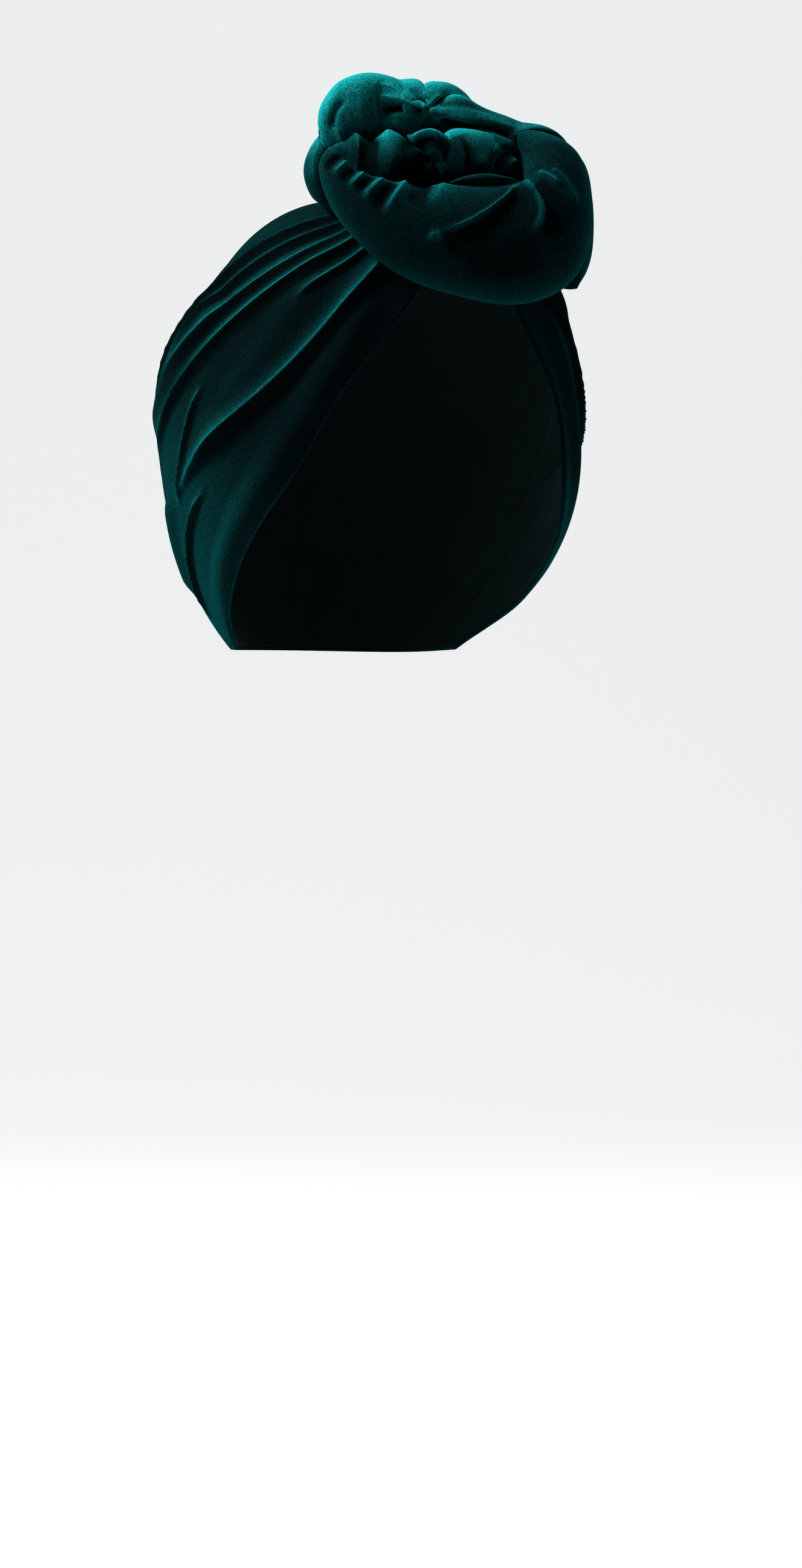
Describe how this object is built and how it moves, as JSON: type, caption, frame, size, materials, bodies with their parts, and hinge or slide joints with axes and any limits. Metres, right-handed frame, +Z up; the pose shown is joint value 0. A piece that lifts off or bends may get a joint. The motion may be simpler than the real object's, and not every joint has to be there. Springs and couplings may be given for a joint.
{
  "type": "pre-tied velvet turban headwrap",
  "caption": "Pleated velvet turban cap with an open face and nape and a rosette knot of padded rolls at the top front.",
  "frame": {"origin": "the crown seat: the point inside the cap that rests on the top of the head", "axes": "+Z up, -Y the way the wearer faces, +X the wearer's left"},
  "size_m": [0.1658, 0.2317, 0.2292],
  "materials": {
    "cap_velvet": "short pile velvet with a soft sheen",
    "knot_velvet": "short pile velvet with a soft sheen, over padding"
  },
  "bodies": {
    "root": {"cap": "cap_velvet", "outer_roll": "knot_velvet", "lip_fold": "knot_velvet", "inner_roll_right": "knot_velvet", "inner_roll_left": "knot_velvet", "centre_fold": "knot_velvet", "rear_roll": "knot_velvet", "back_loop": "knot_velvet", "crest_fold_left": "knot_velvet", "crest_fold_right": "knot_velvet", "side_lobe": "knot_velvet"}
  },
  "joints": []
}
